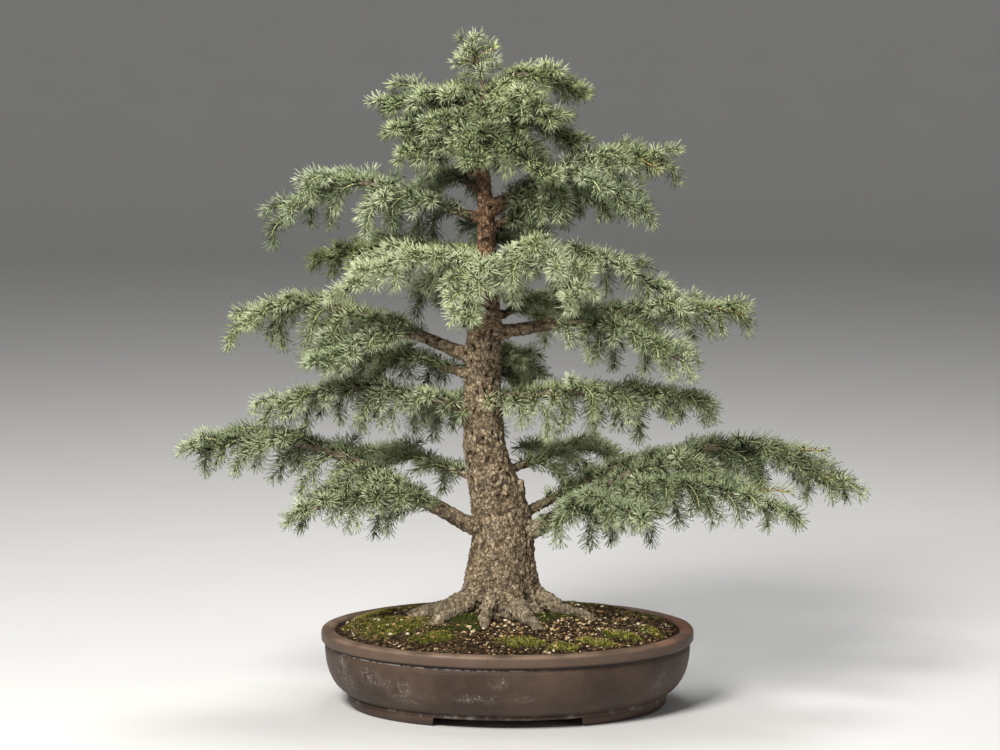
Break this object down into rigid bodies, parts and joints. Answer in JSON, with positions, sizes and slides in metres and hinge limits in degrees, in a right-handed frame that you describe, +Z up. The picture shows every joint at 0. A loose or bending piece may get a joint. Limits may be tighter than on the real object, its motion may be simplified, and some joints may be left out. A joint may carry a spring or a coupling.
{
  "type": "deodar cedar bonsai in a pot",
  "caption": "Upright cedar bonsai with layered needle sprays on a tapering trunk, standing in soil in a shallow oval stoneware pot on two feet.",
  "frame": {"origin": "bottom of the pot's feet, under the middle of the whole tree's and pot's box", "axes": "+X to the viewer's right along the pot's long side, +Y to the back, +Z up"},
  "size_m": [0.8196, 0.473, 0.8364],
  "materials": {
    "stoneware": "unglazed matt red brown stoneware",
    "mesh_plastic": "moulded black mesh",
    "soil_grit": "damp granular soil with moss",
    "bark": "rough scaly grey brown bark",
    "needles": "blue grey green waxy needles"
  },
  "bodies": {
    "root": {"pot": "stoneware", "drain_screen_left": "mesh_plastic", "drain_screen_right": "mesh_plastic", "soil": "soil_grit", "wood": "bark", "spray_low_left": "needles", "spray_low_left_front": "needles", "spray_low_back_left": "needles", "spray_second_left": "needles", "spray_third_left": "needles", "spray_third_left_front": "needles", "spray_mid_back_left": "needles", "spray_fourth_left": "needles", "spray_fifth_left": "needles", "spray_crown_left_top": "needles", "spray_crown_left_mid": "needles", "spray_crown_left_low": "needles", "spray_crown_front": "needles", "spray_crown_front_right": "needles", "spray_crown_right_top": "needles", "spray_crown_right_mid": "needles", "spray_crown_right_front": "needles", "spray_crown_back_right": "needles", "spray_crown_back_left": "needles", "spray_fifth_right": "needles", "spray_fifth_right_front": "needles", "spray_fifth_right_back": "needles", "spray_skirt_right": "needles", "spray_skirt_left": "needles", "spray_skirt_centre": "needles", "spray_fourth_right": "needles", "spray_third_right": "needles", "spray_third_right_front": "needles", "spray_third_back_right": "needles", "spray_mid_back_right": "needles", "spray_second_right": "needles", "spray_low_back_right": "needles", "spray_low_right": "needles", "spray_low_right_outer": "needles", "spray_low_right_front": "needles", "spray_low_right_back": "needles", "spray_low_back": "needles", "spray_mid_back": "needles", "spray_third_back": "needles", "spray_fourth_back": "needles", "spray_fifth_back": "needles", "spray_leader": "needles"}
  },
  "joints": []
}
